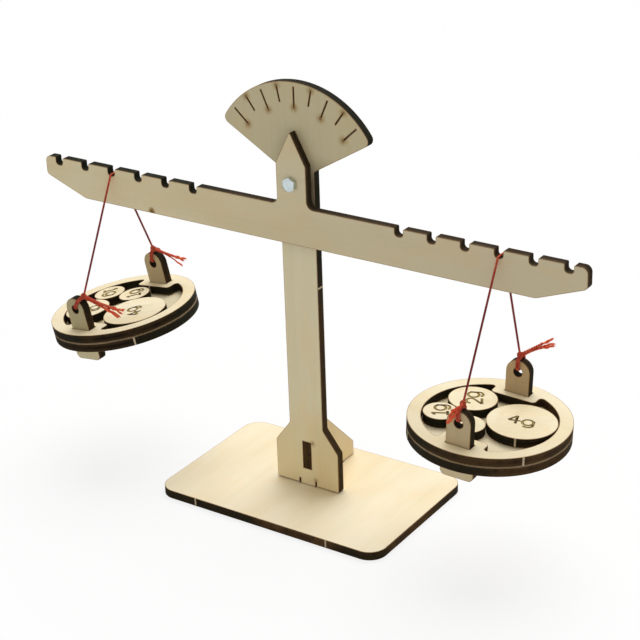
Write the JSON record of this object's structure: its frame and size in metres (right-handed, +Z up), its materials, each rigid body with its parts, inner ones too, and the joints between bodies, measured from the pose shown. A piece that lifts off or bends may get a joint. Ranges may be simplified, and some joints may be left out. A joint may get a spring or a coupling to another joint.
{
  "type": "math balance",
  "caption": "Plywood beam balance on a slotted stand with a tick dial, and round pans of disc weights hung from the beam's notches on knotted threads.",
  "frame": {"origin": "on the table, under the middle of the base plate and of the upright", "axes": "+X along the beam to the viewer's right, the dial and the pointer face -Y, +Z up"},
  "size_m": [0.341, 0.0959, 0.2404],
  "materials": {
    "birch_ply": "bare laser-cut ply, dark burnt edges",
    "weight_ply": "bare laser-cut ply with engraved numbers",
    "zinc_steel": "zinc plated",
    "red_cotton": "matt stranded cotton"
  },
  "bodies": {
    "stand": {"base_plate": "birch_ply", "upright_dial": "birch_ply", "rear_brace": "birch_ply", "pivot_bolt": "zinc_steel", "pivot_nut": "zinc_steel"},
    "beam": {"beam": "birch_ply"},
    "left_hanger": {"left_thread": "red_cotton"},
    "left_pan": {"left_pan_floor": "birch_ply", "left_pan_ring": "birch_ply", "left_front_lug": "birch_ply", "left_back_lug": "birch_ply"},
    "left_4g": {"left_weight_4g": "weight_ply"},
    "left_2g": {"left_weight_2g": "weight_ply"},
    "left_1g_outer": {"left_weight_1g_outer": "weight_ply"},
    "left_1g_inner": {"left_weight_1g_inner": "weight_ply"},
    "right_hanger": {"right_thread": "red_cotton"},
    "right_pan": {"right_pan_floor": "birch_ply", "right_pan_ring": "birch_ply", "right_front_lug": "birch_ply", "right_back_lug": "birch_ply"},
    "right_4g": {"right_weight_4g": "weight_ply"},
    "right_2g": {"right_weight_2g": "weight_ply"},
    "right_1g_outer": {"right_weight_1g_outer": "weight_ply"},
    "right_1g_inner": {"right_weight_1g_inner": "weight_ply"}
  },
  "joints": [
    {"name": "beam_tilt", "type": "hinge", "parent": "stand", "child": "beam", "pos_m": [0, -0.0053, 0.187], "axis": [0, 1, 0], "range_deg": [-18, 18]},
    {"name": "left_swing", "type": "hinge", "parent": "beam", "child": "left_hanger", "pos_m": [-0.12238, -0.0053, 0.17085], "axis": [0, 1, 0], "range_deg": [-20, 20]},
    {"name": "left_pan_tilt", "type": "hinge", "parent": "left_hanger", "child": "left_pan", "pos_m": [-0.12768, -0.004, 0.10145], "axis": [0.0742, 0.9938, 0.0832], "range_deg": [-10, 25]},
    {"name": "left_4g_lift", "type": "slide", "parent": "left_pan", "child": "left_4g", "axis": [-0.1681, -0.0698, 0.9833], "range_m": [0, 0.01]},
    {"name": "left_2g_lift", "type": "slide", "parent": "left_pan", "child": "left_2g", "axis": [-0.1681, -0.0698, 0.9833], "range_m": [0, 0.01]},
    {"name": "left_1g_outer_lift", "type": "slide", "parent": "left_pan", "child": "left_1g_outer", "axis": [-0.1681, -0.0698, 0.9833], "range_m": [0, 0.01]},
    {"name": "left_1g_inner_lift", "type": "slide", "parent": "left_pan", "child": "left_1g_inner", "axis": [-0.1681, -0.0698, 0.9833], "range_m": [0, 0.01]},
    {"name": "right_swing", "type": "hinge", "parent": "beam", "child": "right_hanger", "pos_m": [0.12238, -0.0053, 0.17085], "axis": [0, 1, 0], "range_deg": [-20, 20]},
    {"name": "right_pan_tilt", "type": "hinge", "parent": "right_hanger", "child": "right_pan", "pos_m": [0.11798, -0.0059, 0.09285], "axis": [-0.0244, 0.9997, 0.0012], "range_deg": [-22, 18]},
    {"name": "right_4g_lift", "type": "slide", "parent": "right_pan", "child": "right_4g", "axis": [0.0471, 0, 0.9989], "range_m": [0, 0.01]},
    {"name": "right_2g_lift", "type": "slide", "parent": "right_pan", "child": "right_2g", "axis": [0.0471, 0, 0.9989], "range_m": [0, 0.01]},
    {"name": "right_1g_outer_lift", "type": "slide", "parent": "right_pan", "child": "right_1g_outer", "axis": [0.0471, 0, 0.9989], "range_m": [0, 0.01]},
    {"name": "right_1g_inner_lift", "type": "slide", "parent": "right_pan", "child": "right_1g_inner", "axis": [0.0471, 0, 0.9989], "range_m": [0, 0.01]}
  ]
}
